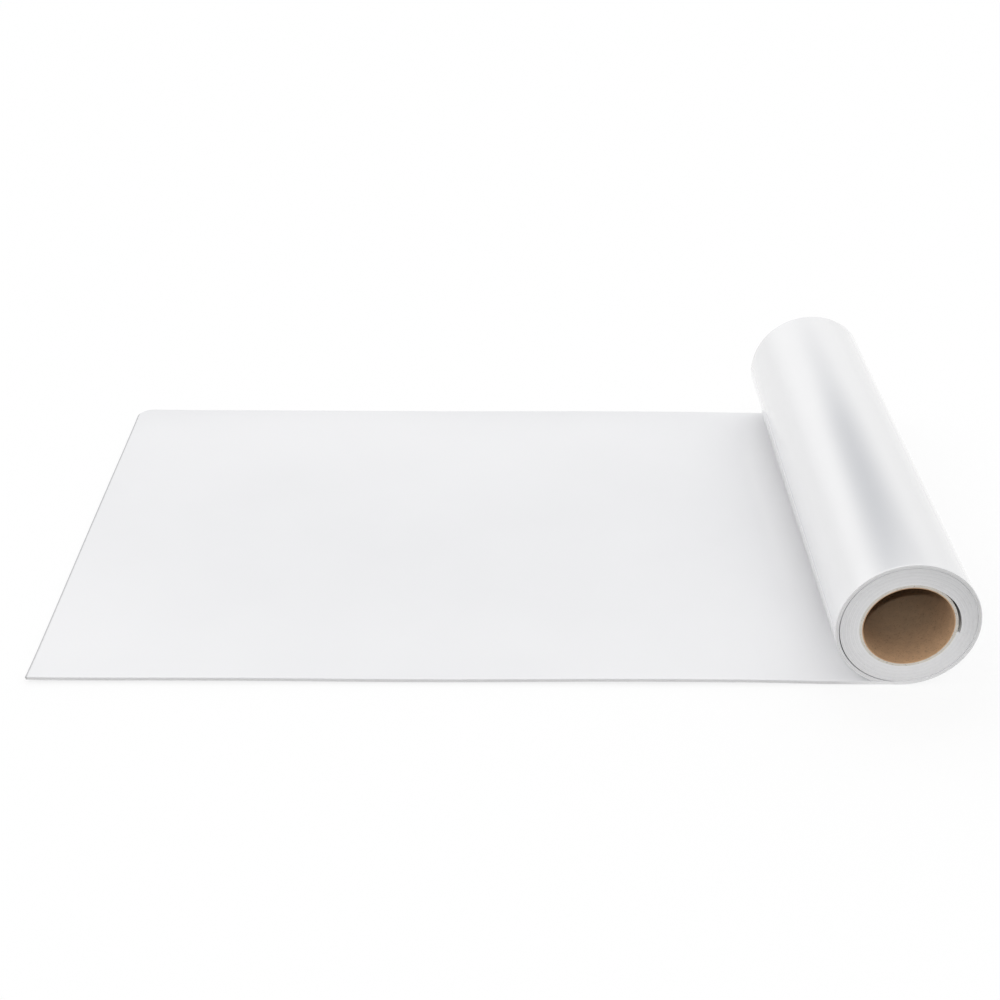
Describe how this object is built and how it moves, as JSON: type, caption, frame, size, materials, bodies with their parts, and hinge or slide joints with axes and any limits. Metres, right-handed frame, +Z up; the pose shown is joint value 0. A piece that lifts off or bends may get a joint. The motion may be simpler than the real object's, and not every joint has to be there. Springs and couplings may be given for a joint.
{
  "type": "roll of sign vinyl",
  "caption": "Partly unrolled roll of white adhesive sign vinyl: a laminate web wound face-in on a hollow paper core, with its free end laid flat for cutting or rolling up again.",
  "frame": {"origin": "under the middle of the whole outline, on the surface that the laid web and the roll rest on", "axes": "+X from the free edge to the roll, +Y along the roll's axis, away from the pictured end, and +Z up"},
  "size_m": [0.809, 0.5, 0.122],
  "materials": {
    "film": "gloss",
    "adhesive": "satin",
    "liner": "satin",
    "wound_web": "satin",
    "tape": "matte",
    "kraft": "matte",
    "core_board": "matte"
  },
  "bodies": {
    "laid": {"laid_film": "film", "laid_adhesive": "adhesive", "laid_liner": "liner"},
    "outer_turn": {"turn_film": "film", "turn_adhesive": "adhesive", "turn_liner": "liner"},
    "roll": {"wound_turns": "wound_web", "start_tape": "tape", "core_inner_ply": "kraft", "core_second_ply": "core_board", "core_third_ply": "core_board", "core_outer_ply": "core_board"}
  },
  "joints": [
    {"name": "wind_up", "type": "slide", "parent": "laid", "child": "outer_turn", "axis": [-1, 0, 0], "range_m": [0, 0.6], "deforming": ["laid_film", "laid_adhesive", "laid_liner"]},
    {"name": "roll_turn", "type": "hinge", "parent": "outer_turn", "child": "roll", "pos_m": [0.3435, 0, 0.061], "axis": [0, -1, 0], "range_deg": [0, 580]}
  ],
  "couplings": [
    {"joint": "roll_turn", "follows": "wind_up", "rad_per_m": 16.835}
  ]
}
